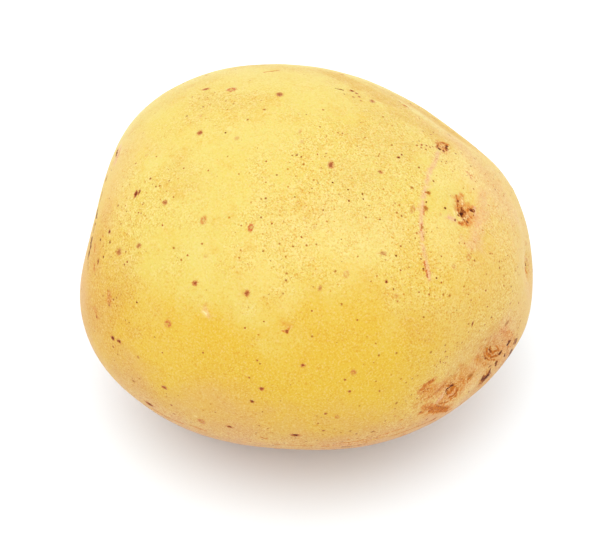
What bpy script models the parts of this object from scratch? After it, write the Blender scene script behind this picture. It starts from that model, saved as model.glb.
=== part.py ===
"""A round-oval table potato, as dug and washed, lying on its flattest side.

Blender 4.5, in metres, +Z up. The long axis is X: the stem end is at -X and the bud end at +X.
The origin is on the surface that the potato lies on, under the middle of its outline.
"""

import math

import bmesh
import bpy
from mathutils import Vector

NAME = "potato"

# Driving dimensions, in metres.
LENGTH = 0.0840
WIDTH = 0.0780
THICKNESS = 0.0650

# It lies on one flat facet, cut this far above the belly's lowest point.
REST_CUT = 0.0020
REST_LIP = 0.00015  # the skin is drawn in to the facet from this far above it
REST_RADIUS = 0.0132  # from the facet's middle to its corners
REST_CORNERS = 3

# Places on the potato are two angles in degrees: to_bud runs from -90 at the tip of the stem end
# to 90 at the tip of the bud end, and turn goes around the long axis, from 0 at the front over
# 90 on top and 180 at the back to 270 underneath.
BUD_TAPER = 0.07  # the bud end is slimmer than the stem end by this share of the middle

# Broad swellings and hollows: (to_bud, turn, spread in degrees, height in metres).
LOBES = {
    "stem_shoulder": (-48, 86, 33, 0.0040),
    "stem_hollow": (-77, 67, 13.5, -0.0038),
    "stem_cheek": (-50, -9, 17, 0.0022),
    "back_flat": (26, 138, 12, -0.0023),
    "top_ridge": (16, 153, 10, 0.0007),
    "belly_flat": (4, -42, 16, -0.0011),
    "bud_flank": (60, -4, 16, -0.0042),
    "bud_tip": (76, 135, 13, -0.0026),
    "back_hip": (30, 200, 22, 0.0015),
    "back_hollow": (-15, 188, 16, -0.0012),
    "under_flat": (5, 268, 28, -0.0015),
    "under_cheek": (-30, 300, 20, 0.0010),
}

# Eyes: (to_bud, turn, half width, depth), in degrees and metres. They crowd towards the bud end.
EYES = {
    "crown_eye": (41.5, 82.5, 0.0036, 0.0010),
    "ridge_eye": (30, 106.5, 0.0028, 0.0006),
    "folded_eye": (50, -15, 0.0040, 0.0011),
    "ring_eye": (67.5, -15.5, 0.0030, 0.0008),
    "tip_eye": (78, 150, 0.0030, 0.0009),
    "back_bud_eye": (52, 168, 0.0038, 0.0011),
    "back_low_eye": (40, 232, 0.0036, 0.0010),
    "back_middle_eye": (14, 186, 0.0040, 0.0012),
    "under_eye": (22, 288, 0.0034, 0.0008),
    "back_stem_eye": (-24, 214, 0.0036, 0.0009),
    "stem_top_eye": (-46, 146, 0.0032, 0.0007),
}
BROW_SHARE = 0.45  # a brow stands this share of its eye's depth proud, on the stem side
EYE_REACH = 2.6  # an eye shapes the skin out to this many half widths

# The scar where the stolon held the potato: a small ring-shaped rim around a pit.
SCAR_PLACE = (-84, 176)
SCAR_RADIUS = 0.0026
SCAR_DEPTH = 0.0011
SCAR_RIM = 0.0004

SPHERE_LEVEL = 5  # an icosphere of 5120 triangles, halved once more around each eye

SKIN_COLOUR = (0.84, 0.62, 0.20, 1.0)
SKIN_ROUGHNESS = 0.48


def direction(to_bud, turn):
    """The unit vector from the potato's middle towards a place on its skin."""
    along, around = math.radians(to_bud), math.radians(turn)
    return Vector((
        math.sin(along),
        -math.cos(along) * math.cos(around),
        math.cos(along) * math.sin(around),
    ))


def bell(distance, spread):
    return math.exp(-0.5 * (distance / spread) ** 2)


def body_point(unit):
    """Where a unit direction meets the potato before its eyes, and the outward normal there."""
    half = Vector((LENGTH / 2, WIDTH / 2, (THICKNESS + REST_CUT) / 2))
    slimming = 1 - BUD_TAPER * unit.x
    point = Vector((unit.x * half.x, unit.y * half.y * slimming, unit.z * half.z * slimming))
    normal = Vector((unit.x / half.x, unit.y / half.y, unit.z / half.z)).normalized()
    swell = 0.0
    for to_bud, turn, spread, height in LOBES.values():
        swell += height * bell(math.degrees(unit.angle(direction(to_bud, turn))), spread)
    return point + normal * swell, normal


def eye_dent(offset, normal, half_width, depth):
    """How far an eye moves the skin at this offset from its middle: a lens-shaped pit, longer across
    the potato than along it, and a curved brow on its stem side."""
    if offset.length > EYE_REACH * half_width:
        return 0.0
    flat = offset - normal * offset.dot(normal)
    along = flat.x / half_width
    across = math.sqrt(max(flat.length_squared - flat.x ** 2, 0.0)) / half_width
    pit = bell(along, 0.42) * bell(across, 0.72)
    brow = bell(along + 0.95 - 0.35 * across ** 2, 0.30) * bell(across, 0.85)
    return depth * (BROW_SHARE * brow - pit)


def scar_dent(distance):
    rim = SCAR_RIM * bell(distance - SCAR_RADIUS, SCAR_RADIUS * 0.35)
    return rim - SCAR_DEPTH * bell(distance, SCAR_RADIUS * 0.55)


def make_ball():
    """A unit icosphere with its edges halved once around each eye and the scar."""
    bm = bmesh.new()
    bmesh.ops.create_icosphere(bm, subdivisions=SPHERE_LEVEL, radius=1.0)
    centres = [(direction(*eye[:2]), eye[2]) for eye in EYES.values()]
    centres.append((direction(*SCAR_PLACE), SCAR_RADIUS))
    near = []
    for edge in bm.edges:
        middle = ((edge.verts[0].co + edge.verts[1].co) / 2).normalized()
        for centre, half_width in centres:
            if middle.angle(centre) * WIDTH / 2 < 1.8 * half_width:
                near.append(edge)
                break
    bmesh.ops.subdivide_edges(bm, edges=near, cuts=1, use_grid_fill=True)
    bmesh.ops.triangulate(bm, faces=bm.faces[:])
    for vert in bm.verts:
        vert.co.normalize()
    return bm


def shape_potato(bm):
    """Moves every vertex of the ball to the potato's skin."""
    eyes = []
    for to_bud, turn, half_width, depth in EYES.values():
        point, normal = body_point(direction(to_bud, turn))
        eyes.append((point, normal, half_width, depth))
    scar, _ = body_point(direction(*SCAR_PLACE))
    for vert in bm.verts:
        point, normal = body_point(vert.co)
        dent = scar_dent((point - scar).length)
        for centre, eye_normal, half_width, depth in eyes:
            dent += eye_dent(point - centre, eye_normal, half_width, depth)
        vert.co = point + normal * dent


def extent(bm, axis):
    values = [vert.co[axis] for vert in bm.verts]
    return min(values), max(values)


def nearest(points, place):
    return min(points, key=lambda point: (point - place).length)


def cut_rest_facet(bm):
    """Draws the lowest part of the belly in to the corners of one flat facet."""
    level = extent(bm, 2)[0] + REST_CUT
    belly = [vert for vert in bm.verts if vert.co.z < level + REST_LIP]
    middle = sum((vert.co for vert in belly), Vector()) / len(belly)
    corners = []
    for i in range(REST_CORNERS):
        around = 2 * math.pi * i / REST_CORNERS
        x = middle.x + REST_RADIUS * math.cos(around)
        y = middle.y + REST_RADIUS * math.sin(around)
        corners.append(Vector((x, y, level)))
    for vert in belly:
        vert.co = nearest(corners, vert.co)
    bmesh.ops.remove_doubles(bm, verts=belly, dist=0.00001)


def fit_and_place(bm):
    """Brings the potato to its driving dimensions and sets its origin."""
    for axis, size in enumerate((LENGTH, WIDTH, THICKNESS)):
        low, high = extent(bm, axis)
        middle = low if axis == 2 else (low + high) / 2
        for vert in bm.verts:
            vert.co[axis] = (vert.co[axis] - middle) * size / (high - low)


def skin_material():
    material = bpy.data.materials.new("potato_skin")
    material.use_nodes = True
    shader = material.node_tree.nodes["Principled BSDF"]
    shader.inputs["Base Color"].default_value = SKIN_COLOUR
    shader.inputs["Roughness"].default_value = SKIN_ROUGHNESS
    shader.inputs["Metallic"].default_value = 0.0
    material.diffuse_color = SKIN_COLOUR
    return material


def make_potato(collection):
    bm = make_ball()
    shape_potato(bm)
    cut_rest_facet(bm)
    fit_and_place(bm)
    bmesh.ops.recalc_face_normals(bm, faces=bm.faces[:])
    mesh = bpy.data.meshes.new(NAME)
    bm.to_mesh(mesh)
    bm.free()
    mesh.shade_smooth()
    mesh.materials.append(skin_material())
    potato = bpy.data.objects.new(NAME, mesh)
    collection.objects.link(potato)
    return potato


def main():
    for old in list(bpy.data.objects):
        bpy.data.objects.remove(old)
    collection = bpy.data.collections.new(NAME)
    bpy.context.scene.collection.children.link(collection)
    make_potato(collection)


main()
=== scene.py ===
# A washed table potato on a white table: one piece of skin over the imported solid.
import math
import random

import bmesh
import bpy
import numpy as np
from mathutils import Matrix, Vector, noise
from mathutils.bvhtree import BVHTree
from mathutils.kdtree import KDTree


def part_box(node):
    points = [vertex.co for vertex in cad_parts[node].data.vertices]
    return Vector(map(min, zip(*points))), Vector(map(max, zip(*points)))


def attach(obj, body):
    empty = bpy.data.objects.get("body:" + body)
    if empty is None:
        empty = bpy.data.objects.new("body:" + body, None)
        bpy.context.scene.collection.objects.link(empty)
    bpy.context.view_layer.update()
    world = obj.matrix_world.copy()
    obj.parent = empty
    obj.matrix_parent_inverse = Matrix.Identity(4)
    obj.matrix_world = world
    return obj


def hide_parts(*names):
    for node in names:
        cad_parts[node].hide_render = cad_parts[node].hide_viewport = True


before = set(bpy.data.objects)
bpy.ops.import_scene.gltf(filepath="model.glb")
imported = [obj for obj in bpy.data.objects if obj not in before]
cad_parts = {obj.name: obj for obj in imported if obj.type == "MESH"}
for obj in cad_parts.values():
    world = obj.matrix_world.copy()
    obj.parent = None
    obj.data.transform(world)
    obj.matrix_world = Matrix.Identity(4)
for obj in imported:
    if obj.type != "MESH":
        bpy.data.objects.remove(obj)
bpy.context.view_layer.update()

mm = 0.001
cadLow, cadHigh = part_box("potato")
cadSize = cadHigh - cadLow

potato = {
    "middle": (0.5115, 0.5029, 0.4616),  # of the rounded body, as shares of the solid's box
    "half": (0.5103, 0.4994, 0.5093),  # half its length, width and height, as shares too
    "slimmerBud": 0.07,  # how much slimmer the bud end is than the middle
    "ballLevel": 7,  # of the starting ball, whose edges are then halved round the marks
    "castFrom": 12,  # mm outside the rounded body, where the way to the solid starts
    "facetsSmoothed": 10,  # rounds that melt the solid's facets into one skin
    "seamsSmoothed": 2,  # rounds that even out the halved edges
    "swells": ((15.0, 0.20), (6.5, 0.07), (2.6, 0.022), (1.1, 0.009)),  # size and height, mm
    "swellSeed": (3.7, 1.3, -2.1),
}


# A place on the skin is two angles. toBud runs from -90 at the stem end's tip to 90 at the bud
# end's tip. turn goes round the long axis: 0 front, 90 top, 180 back, 270 underneath.
def skinDirection(toBud, turn):
    along = math.radians(toBud)
    around = math.radians(turn)
    return Vector((
        math.sin(along),
        -math.cos(along) * math.cos(around),
        math.cos(along) * math.sin(around),
    ))


def directions(places):
    return np.array([skinDirection(*place) for place in places])


def roundedBody(ways):
    # points and outward normals of the rounded body for an array of unit directions
    shares = zip(cadLow, potato["middle"], cadSize)
    middle = np.array([low + share * size for low, share, size in shares])
    half = np.array([share * size for share, size in zip(potato["half"], cadSize)])
    slim = 1 - potato["slimmerBud"] * ways[:, :1]
    points = middle + ways * half * np.hstack([np.ones_like(slim), slim, slim])
    normals = ways / half
    return points, normals / np.linalg.norm(normals, axis=1, keepdims=True)


def bodyPoints(places):
    return roundedBody(directions(places))[0]


# Pores: place, width and height in mm (along and round the potato), and how strong it is.
pores = {
    "soft": [
        (-11.2, 100, 1.5, 1.6, 1), (-26.5, 82.3, 1.2, 1.3, 1.1), (6, 79, 1.2, 1.7, 1.1),
        (9.7, 110.5, 1.3, 1.5, 0.8), (17.6, 82, 1.1, 0.9, 0.8), (-30.6, 59.6, 1.2, 1.1, 0.9),
        (-19.1, 38.6, 1.2, 1.1, 1.2), (-6.4, 38.8, 1.2, 1.3, 1.1), (10.1, 43.5, 0.8, 1.2, 0.6),
        (23.1, 57, 1.4, 0.9, 0.6), (8.7, 19.7, 0.9, 0.85, 1.2), (-0.5, 10, 0.95, 0.9, 1.2),
        (-36, 45.6, 1.3, 1.1, 0.8), (-42.4, 41.8, 1.5, 1.5, 0.8), (-30.3, 103, 1.6, 1, 1.1),
        (-25.4, 0, 1.3, 1, 1.2), (-33, 8, 0.7, 0.8, 0.5),
    ],
    "ring": [
        (-23.2, 101, 1.7, 1.5, 1.1), (-19.8, 56.2, 1.1, 1.5, 0.8), (-25, 24.5, 1.4, 1.3, 1),
        (-8.3, 56.4, 1, 1.5, 1.2), (15.5, 48.6, 1, 1.5, 0.5), (27.7, 73.8, 0.9, 1.6, 0.6),
        (20.8, 17.5, 1, 1.1, 0.9), (46.2, 64.5, 1, 1.4, 0.6), (-16.2, -12.2, 1.3, 1.6, 1.2),
        (-17.6, 46.7, 0.7, 0.7, 0.4), (17.5, -1, 0.8, 1, 0.7), (42.2, 58.8, 0.9, 0.9, 0.5),
        (17, 122, 1.3, 1.1, 1.3),
    ],
    "dark": [
        (-40, 61.8, 1, 1.4, 1.2), (-39, 62.6, 0.6, 1.1, 0.9), (-2.7, 4.5, 0.9, 0.7, 1),
        (7.3, -11, 1.8, 1.2, 1.2), (-8.8, -10.8, 1.4, 1, 1.1), (-31.4, -17, 2.2, 1.7, 1.3),
        (25.3, 48.4, 0.6, 0.7, 1.2), (20.7, 89.7, 0.75, 0.65, 1), (21.2, 91.4, 0.45, 0.5, 0.9),
        (-41.5, 9.5, 1.1, 1, 1.4), (-39.2, 9.9, 1.2, 0.9, 1.2), (4.1, 30, 0.7, 0.6, 1.1),
        (-47.5, 48, 0.8, 0.9, 1), (-50.8, 35, 0.7, 1.2, 0.9), (30.6, 121.6, 1, 0.8, 1.2),
        (4.1, 112.2, 0.9, 1, 1.1), (54, 33, 0.5, 1.3, 0.9), (74.7, -29.6, 0.8, 1.2, 1),
    ],
    "pale": [
        (-17, 81.2, 1, 1.1, 0.8), (-3.2, 87, 0.6, 1.6, 0.7), (-2, 84, 0.7, 0.7, 0.7),
        (28.4, 44.4, 0.9, 0.9, 0.7), (35, 76, 0.7, 0.6, 0.6), (-40, 75.5, 0.8, 0.8, 0.6),
        (-28, 89, 0.8, 0.9, 0.6), (6, 60, 0.7, 0.7, 0.5), (32.2, -8.8, 0.7, 0.6, 0.9),
    ],
}

# Small dots: place and size in mm, all drawn at one scale and strength.
dots = {
    "black": [
        (7, 65.2, 0.3), (-46.6, 44.3, 0.5), (35.8, 79.3, 0.45), (7.5, 73.8, 0.3), (26.4, 57.2, 0.4),
        (38.1, 52.7, 0.36), (34, 55, 0.36), (30.6, 78.2, 0.35), (30.8, 87.3, 0.35), (11.4, 73, 0.28),
        (12.3, 69.8, 0.34), (14.9, 73, 0.3), (15.4, 71.6, 0.3), (27.4, 46.5, 0.26), (-34.4, 27.7, 0.34),
        (-20.1, 82.7, 0.32), (-58, 50, 0.5), (-51.5, 44, 0.45), (-57.5, 39, 0.5), (-59.5, 78, 0.5),
        (-48.5, 38, 0.4), (-57.5, 53, 0.4), (64.6, -16, 0.3), (67, 60, 0.3),
    ],
    "brown": [
        (-3.7, 58.5, 0.3), (3.6, 56.5, 0.28), (2.3, 81.2, 0.3), (27, 60.6, 0.36), (17.3, 54.4, 0.3),
        (9.1, 36.8, 0.3), (28.2, 52.9, 0.32), (30.2, 54.5, 0.3), (39.7, 51.5, 0.3), (34.1, 46.7, 0.32),
        (37, 46.3, 0.32), (20, 35.5, 0.3), (27.7, 8.5, 0.36), (-3.6, 13.3, 0.34), (-2, 19.6, 0.34),
        (-5.7, 29, 0.34), (-1.5, 31.8, 0.26), (-26, 14, 0.3), (-15.3, 18.5, 0.34), (-36.5, 74.5, 0.3),
        (-42.8, 73, 0.32), (-27.8, 70.3, 0.26), (-21.5, 70.3, 0.3), (-14, 70.5, 0.26),
        (-8.6, 75.5, 0.3), (16.6, 102, 0.32), (-22.1, 45.9, 0.32), (-19, 49.8, 0.36), (-39, 39.5, 0.34),
        (-37.8, 55.7, 0.34), (-37, 58.5, 0.3), (-30, 52.9, 0.28), (-48.5, 12.5, 0.5),
        (14.2, -8.3, 0.45), (13, -4, 0.32), (16.8, -7.8, 0.32), (5.4, 111.6, 0.6), (6.4, 110, 0.55),
        (7.2, 108, 0.4), (5.2, 108.6, 0.36), (15.2, 123.6, 0.5), (68.5, 80, 0.34), (71, 76, 0.3),
        (62.7, 58, 0.34), (70.5, 45, 0.34), (78, 45, 0.4), (50.5, 46, 0.34), (44, 12, 0.24),
        (45.2, 13.5, 0.24), (46.4, 12.5, 0.24), (47.5, 15.5, 0.24), (-23.8, -14.4, 0.5),
        (-24, -8.5, 0.5), (-41.3, 5.7, 0.45), (20.3, 10, 0.5), (19, 14.8, 0.45), (14.8, 0.8, 0.5),
        (39.3, -16.4, 0.6), (40.5, -28, 0.6), (25, 99.9, 0.4), (26.2, 100.9, 0.36), (27.2, 101.1, 0.34),
        (27.8, 102.3, 0.34), (25.2, 98.5, 0.34), (24, 98.7, 0.34), (26.2, 109, 0.34), (26.4, 99, 0.28),
        (28.8, 105, 0.35), (31.5, 106, 0.4), (29.3, 108, 0.3), (0, 97.5, 0.4), (43.9, 69.5, 0.3),
        (53, 71, 0.3), (55, 52, 0.32), (58, 43, 0.3), (60, 30, 0.32),
    ],
    "orange": [
        (12.8, 49, 0.4), (1.9, 46, 0.4), (10.1, 29.2, 0.4), (-25.9, 47.1, 0.42), (-40, 42.6, 0.36),
        (26, 81, 0.5), (-34.9, -5.5, 0.7), (41, 22, 0.5), (31, 24, 0.4), (15.7, 39.8, 0.45),
        (43, 47, 0.45), (41, 47, 0.4), (20.6, -10.5, 0.5), (32.5, -0.5, 0.55), (-13, 92.5, 0.5),
        (-16, 88, 0.4), (30.8, 75.9, 0.9), (30.4, 82, 0.7), (31.2, 69, 0.5), (32.2, 66, 0.35),
        (57.7, -22.7, 1.1), (73.5, 18, 1),
    ],
}
dotLook = {"scale": 1.2, "strength": 1.1}

# How each kind looks: disc, core and ring from 0 to 1, hue from 0 red-brown to 1 orange,
# and the height of its lip and the depth of its middle in mm.
markKinds = {
    "soft": {"disc": 0.75, "core": 0.75, "ring": 0.0, "hue": 0.15, "lip": 0.035, "sunk": 0.07},
    "ring": {"disc": 0.26, "core": 0.10, "ring": 1.05, "hue": 0.20, "lip": 0.060, "sunk": 0.06},
    "dark": {"disc": 0.90, "core": 1.20, "ring": 0.2, "hue": 0.40, "lip": 0.030, "sunk": 0.12},
    "pale": {"disc": 0.42, "core": 0.15, "ring": 0.15, "hue": 0.05, "lip": 0.030, "sunk": 0.02},
    "black": {"disc": 1.00, "core": 1.30, "ring": 0.0, "hue": 0.90, "lip": 0.0, "sunk": 0.05},
    "brown": {"disc": 0.90, "core": 0.50, "ring": 0.0, "hue": 0.60, "lip": 0.0, "sunk": 0.03},
    "orange": {"disc": 0.75, "core": 0.25, "ring": 0.0, "hue": 1.00, "lip": 0.0, "sunk": 0.02},
}

# Strokes: field, strength, half width and relief in mm, and the places it runs through.
handStrokes = [
    # the crown eye: rusty and creamy crumbs round a black pit, with a purple smear on each side
    ("rust", 0.66, 1.7, -0.16, [(40.6, 83.6), (42.6, 82.2)]),
    ("rust", 0.84, 0.34, -0.1, [(38.1, 87.2), (39.1, 85.6), (39.7, 84.2), (39.9, 82.8)]),
    ("cream", 0.8, 0.3, 0.1, [(40.1, 87.2), (40.6, 86)]),
    ("pit", 0.55, 0.2, -0.2, [(40.7, 85.1), (41.1, 83.8)]),
    ("pit", 1.1, 0.27, -0.5, [(41.4, 82.8), (41.5, 82)]),
    ("cream", 0.75, 0.34, 0.08, [(39.8, 81.2), (40.8, 80)]),
    ("pit", 0.75, 0.26, -0.08, [(40.4, 80.5)]),
    ("rust", 0.74, 0.55, 0.06, [(42.5, 85.2), (43.2, 86.4)]),
    ("pit", 0.75, 0.28, -0.1, [(43.6, 86.2), (44, 86.1)]),
    ("cream", 0.6, 0.28, 0.06, [(43.4, 84.8)]),
    ("rust", 0.7, 0.32, 0.04, [(43.7, 88.1)]),
    ("pink", 1, 0.26, 0.08, [(44.4, 88), (44.9, 85.4)]),
    ("pit", 0.55, 0.18, 0, [(44.3, 87.2), (44.7, 85.6)]),
    ("rust", 0.78, 0.5, 0.06, [(42.3, 80), (43, 79.2)]),
    ("pit", 0.85, 0.26, -0.08, [(43.6, 80.1)]),
    ("pit", 0.7, 0.22, -0.08, [(42.4, 80.3)]),
    ("pit", 0.65, 0.22, -0.06, [(39, 86)]),
    ("pit", 0.6, 0.2, -0.06, [(39.6, 84.4)]),
    ("rust", 1, 0.26, 0, [(44.3, 83)]),
    ("pink", 1, 0.4, 0.06, [(37.6, 76.7), (39.4, 77.1)]),
    ("pit", 0.7, 0.24, 0, [(39.6, 77.2)]),
    ("rust", 0.76, 0.36, 0, [(41.1, 77.2), (42, 77.6)]),
    ("cream", 0.75, 0.34, 0.05, [(41.6, 79), (43.4, 82.6)]),
    ("cream", 0.7, 0.3, 0.05, [(38.4, 80.4), (39.4, 78.6)]),
    ("pit", 0.62, 0.16, -0.05, [(41.6, 84.2), (42.4, 84)]),
    ("pink", 0.65, 1.1, 0.1, [(45.4, 98), (46.4, 92), (47.2, 86), (47, 78), (46.5, 70)]),
    ("rust", 0.6, 0.26, -0.04, [(38.5, 101.5), (39.6, 101.6), (40.6, 100)]),
    ("tan", 0.5, 0.3, 0, [(37.7, 109)]),
    ("rust", 0.6, 0.26, 0, [(48.3, 94.3)]),
    # the ridge eye: dark and red crumbs in a small ring
    ("rust", 0.66, 1.1, -0.12, [(29.6, 106.2), (30.6, 106.8)]),
    ("rust", 0.85, 0.28, -0.04, [(29.3, 108.5), (30.3, 110)]),
    ("pit", 0.75, 0.22, -0.12, [(31.1, 109.4), (31.4, 107.4)]),
    ("rust", 0.9, 0.26, 0, [(31, 110), (31.3, 106.4)]),
    ("pit", 0.5, 0.24, -0.08, [(28.9, 106.7), (29, 105)]),
    ("rust", 0.8, 0.28, 0, [(28.9, 107.2), (29, 103.2)]),
    ("pit", 0.95, 0.26, -0.15, [(29.6, 104.3)]),
    ("pit", 0.7, 0.22, -0.06, [(30.8, 104.7)]),
    ("pit", 0.6, 0.2, -0.06, [(30.1, 106.8)]),
    ("cream", 0.65, 0.3, 0.05, [(30.1, 105.6), (30, 108)]),
    ("tan", 0.7, 1.3, 0, [(22, 110), (25, 111.5), (28, 110)]),
    ("tan", 0.5, 0.7, 0, [(32.2, 109.2)]),
    # a healed graze running down from the ridge eye
    ("pink", 0.9, 0.34, 0.05, [(29.6, 101), (29.7, 95), (29, 89.9), (29.3, 85)]),
    ("pink", 0.95, 0.36, 0.06, [(29.3, 83.4), (29.4, 79.8)]),
    ("rust", 0.95, 0.2, -0.05, [(29.6, 81.5), (30.5, 81.9)]),
    ("pink", 0.95, 0.32, 0.05, [(29.6, 77.8), (30.2, 72.6), (31, 68.6), (32, 65)]),
    ("rust", 0.9, 0.16, 0, [(30.3, 76.4), (30.9, 76.2)]),
    ("pit", 0.56, 0.15, -0.04, [(30.4, 78.6)]),
    ("rust", 0.68, 0.24, 0, [(30.5, 75), (30.7, 73.6)]),
    ("pit", 0.52, 0.14, -0.03, [(30.7, 74.6)]),
    ("rust", 0.8, 0.2, -0.05, [(30.9, 69.8), (31.2, 67.7)]),
    ("rust", 0.45, 0.22, 0, [(31.9, 65.7)]),
    ("pink", 0.8, 0.32, 0.05, [(32.4, 63), (33.7, 59.4)]),
    ("pink", 1, 0.3, 0.08, [(34.3, 57.4), (35.2, 54.8), (36.2, 51.8)]),
    ("rust", 0.8, 0.17, -0.06, [(33.9, 57.6), (34.7, 54.8), (35.6, 52.4)]),
    ("rust", 0.6, 0.15, -0.04, [(34.9, 57.4), (35.8, 54.8)]),
    # the folded eye: a dark slit with a pale brow and small folds, in a wide rusty wash
    ("rust", 0.5, 2.5, 0, [(42, -3), (46, -9), (51, -15)]),
    ("rust", 0.5, 2.1, 0, [(45, -21), (51, -23), (54, -23)]),
    ("rust", 0.82, 0.62, -0.06, [(40.2, 0.6), (41.4, 2.4), (43.6, 2.5)]),
    ("rust", 0.95, 0.22, -0.04, [(39.4, 0.4), (40.4, 2.6), (42, 3.4), (43.8, 2.6)]),
    ("rust", 0.82, 0.22, -0.05, [(40.6, -1.6), (41.6, -0.6), (43, -2.2)]),
    ("rust", 0.6, 0.55, -0.03, [(40, -2), (42, -3.4)]),
    ("rust", 0.7, 0.7, -0.04, [(40.4, -13.4), (42, -18), (42.8, -20.7)]),
    ("rust", 0.88, 0.8, -0.05, [(42.4, -18.7), (44.4, -24.8), (45.8, -30), (46.6, -34)]),
    ("rust", 1, 0.26, -0.06, [(41.6, -20.6), (43.6, -27), (45.2, -33), (46, -37)]),
    ("rust", 0.9, 0.18, -0.05, [(44, -19), (46, -24), (48, -28)]),
    ("pit", 0.46, 0.16, -0.1, [(44.4, -22), (45.6, -28), (46.6, -34)]),
    ("rust", 0.7, 0.28, 0, [(39.2, -16.6), (39.8, -18)]),
    ("pit", 0.35, 0.18, 0, [(39.5, -17.3)]),
    ("pit", 0.86, 0.34, -0.45, [(49, -19.6), (50, -20.2), (51.2, -20.6)]),
    ("rust", 0.85, 0.22, -0.2, [(47.4, -20), (49.3, -19.8)]),
    ("pink", 1.1, 0.42, 0.22, [(45.6, -17.6), (47, -18.2), (48.4, -18.6), (49.6, -18.4)]),
    ("cream", 0.75, 0.28, 0, [(45.6, -17.4), (47.4, -18.2)]),
    ("rust", 0.8, 0.4, 0, [(49.4, -16.4), (51.6, -18.4)]),
    ("rust", 0.74, 0.8, -0.03, [(45, -9.4), (48.6, -12.6)]),
    ("rust", 0.76, 0.36, 0, [(42, -8), (43.4, -9.4)]),
    ("rust", 1.1, 0.28, -0.15, [(48.6, -22), (49.8, -23.4), (50.9, -23.2), (51.6, -22.4)]),
    ("pink", 0.6, 0.22, 0.16, [(48.8, -24), (50.2, -25.4), (51.4, -24.6)]),
    ("rust", 1.1, 0.26, -0.12, [(48.8, -26), (50.3, -27.4), (51.6, -26.6), (52.2, -24.4)]),
    ("rust", 0.95, 0.2, -0.08, [(48.8, -28.2), (50.2, -29.6), (51.4, -28.9)]),
    ("rust", 0.75, 0.6, -0.08, [(57, -24), (57.9, -23)]),
    ("rust", 1, 0.3, -0.1, [(56.7, -24.8), (57.6, -23.4)]),
    ("rust", 0.45, 0.8, 0, [(58.4, -22), (59.4, -20)]),
    ("cream", 0.55, 1.1, 0.1, [(58.6, -31), (56, -34), (53, -37), (49.4, -38)]),
    # the ring eye: reddish arcs inside each other round a pale middle
    ("rust", 0.58, 2.2, -0.2, [(67, -13), (68.4, -25)]),
    ("rust", 1.2, 0.22, -0.12, [(68.6, -13), (67.9, -19), (68.3, -25.2), (69.6, -27)]),
    ("pit", 0.62, 0.14, -0.05, [(67.9, -17), (68, -22)]),
    ("rust", 1.2, 0.24, -0.08, [(67.2, -12.6), (66.5, -20.4), (67, -28.3), (68.4, -32.6)]),
    ("rust", 0.9, 0.16, -0.05, [(65.8, -14), (65.3, -21), (65.8, -30), (67.2, -35.6)]),
    ("rust", 1, 0.2, 0, [(69.4, -31), (70.6, -26), (70.6, -20)]),
    ("rust", 0.7, 0.14, 0, [(70.6, -33), (72.2, -26)]),
    ("pink", 0.8, 0.22, 0.12, [(67.7, -15), (67.3, -20.6), (67.8, -26.6), (68.8, -29)]),
    ("cream", 0.62, 0.3, 0.12, [(69, -17), (69.1, -21.6)]),
    ("pit", 0.6, 0.22, -0.05, [(65, -22.4), (65.4, -23.8)]),
    ("rust", 0.6, 0.5, 0, [(64.8, -22.6)]),
    ("pit", 0.85, 0.26, -0.05, [(69.8, -34.2), (70.6, -33.6)]),
    ("pit", 0.95, 0.3, -0.1, [(73.6, -34.8), (74.9, -33.7)]),
    ("pit", 0.5, 0.2, 0, [(75.2, -33), (76.4, -31)]),
    ("pit", 0.9, 0.4, 0, [(71.4, -58), (70.4, -61.4), (68.6, -64.6), (66.6, -66)]),
    ("pit", 0.75, 0.36, 0, [(76, -52), (74.4, -57)]),
    ("pit", 0.75, 0.28, 0, [(65.6, -43.6), (66.6, -40.4)]),
    ("pink", 0.7, 0.3, 0, [(66.4, -40.4), (67.2, -42.6)]),
    ("pit", 0.75, 0.26, 0, [(69.3, -48.2), (70.2, -44)]),
    ("cream", 0.6, 0.3, 0.08, [(63.4, 13.6), (63.6, 10.4)]),
    ("rust", 0.7, 0.28, 0, [(64.1, 12.6), (64.2, 9.6)]),
    ("rust", 0.45, 0.8, 0, [(71, 5)]),
    ("tan", 0.85, 3.4, 0, [(64, 6), (67, -12), (66, -30), (62, -42)]),
    ("pink", 0.45, 2.6, 0, [(72, 0), (72, -25), (66, -45)]),
    ("rust", 0.48, 2, 0, [(68, 4), (71, -10), (71, -36), (67, -46)]),
    # reddish flecks and thin lines along the bud end's lower rim
    ("rust", 0.62, 0.9, 0, [(72, 8), (75, -8), (76, -26)]),
    ("rust", 0.66, 0.4, 0, [(71, 14), (72, 10)]),
    ("rust", 0.7, 0.3, 0, [(66, -4), (66.6, -8)]),
    ("rust", 0.68, 0.34, 0, [(63.4, -24), (63.8, -28)]),
    ("rust", 0.7, 0.28, 0, [(66.6, -36), (67.4, -39)]),
    ("pit", 0.5, 0.22, 0, [(64.2, -34), (65, -37)]),
    ("pit", 0.48, 0.22, 0, [(62.6, -45), (61, -48)]),
    ("pit", 0.6, 0.26, 0, [(76, -46), (74, -52)]),
    ("rust", 0.72, 0.36, 0, [(60, -52), (56, -56)]),
    ("rust", 0.62, 0.7, 0, [(62, -6), (63, -16)]),
    ("rust", 0.64, 0.45, 0, [(73, -40), (70, -52), (64, -60)]),
    ("pit", 0.42, 0.26, 0, [(72.4, -42), (71, -46)]),
    ("pit", 0.45, 0.18, -0.04, [(67.6, -52), (66, -55), (64, -57)]),
    ("rust", 0.66, 0.2, -0.04, [(62, -50), (59, -55), (55, -58)]),
    ("rust", 0.62, 0.26, -0.04, [(52, -57), (47, -57), (42, -55)]),
    ("rust", 0.66, 0.22, 0, [(63.6, 5), (63.8, 0)]),
    ("rust", 0.64, 0.24, 0, [(61.4, -14), (61.2, -18)]),
    ("cream", 0.45, 0.6, 0, [(66, -36), (64, -41)]),
    # the scab: torn and purple-brown
    ("pit", 0.72, 0.34, 0.06, [(58.4, -42), (59.6, -42.2)]),
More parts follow.
